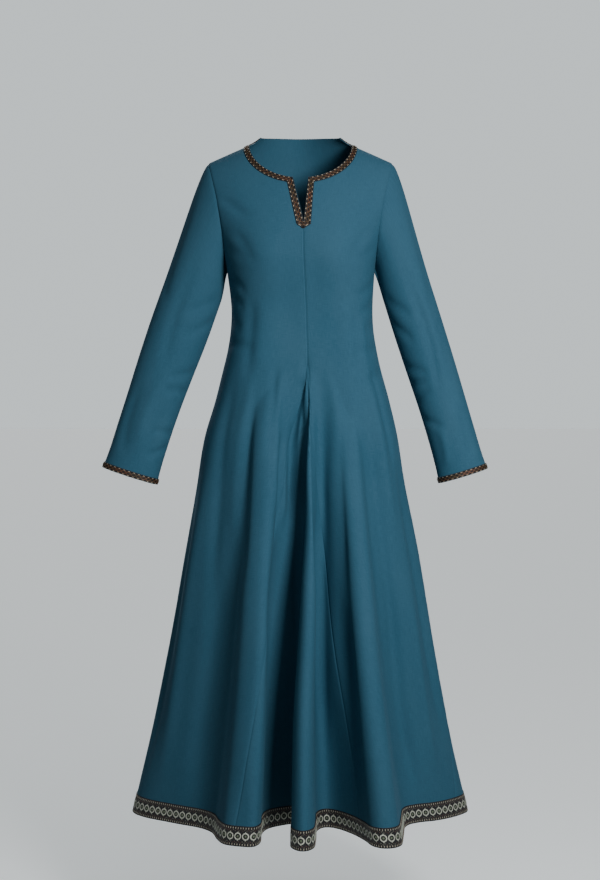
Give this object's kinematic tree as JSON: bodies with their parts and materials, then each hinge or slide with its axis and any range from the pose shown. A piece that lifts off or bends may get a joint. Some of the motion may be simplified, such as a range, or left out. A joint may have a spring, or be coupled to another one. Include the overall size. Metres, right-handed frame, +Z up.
{
  "type": "renaissance dress",
  "caption": "Long flared long-sleeved dress with a gored skirt, a notched round neck, braided neck and cuffs and a woven ribbon hem, kept in its worn form",
  "frame": {"origin": "midway between the two shoulder seams, at the height where they meet the neckline, which is where a wearer carries the dress", "axes": "+X is the wearer's left, -Y is the front, +Z is up"},
  "size_m": [0.7611, 0.561, 1.3533],
  "materials": {
    "cloth": "soft matt plain weave, teal blue",
    "braid": "flat woven braid, copper and black",
    "ribbon": "flat jacquard ribbon, black and silver"
  },
  "bodies": {
    "root": {"front_panel_left": "cloth", "front_panel_right": "cloth", "front_gore": "cloth", "back_panel": "cloth", "sleeve_left": "cloth", "sleeve_right": "cloth", "neck_braid": "braid", "cuff_braid_left": "braid", "cuff_braid_right": "braid", "hem_ribbon": "ribbon"}
  },
  "joints": []
}
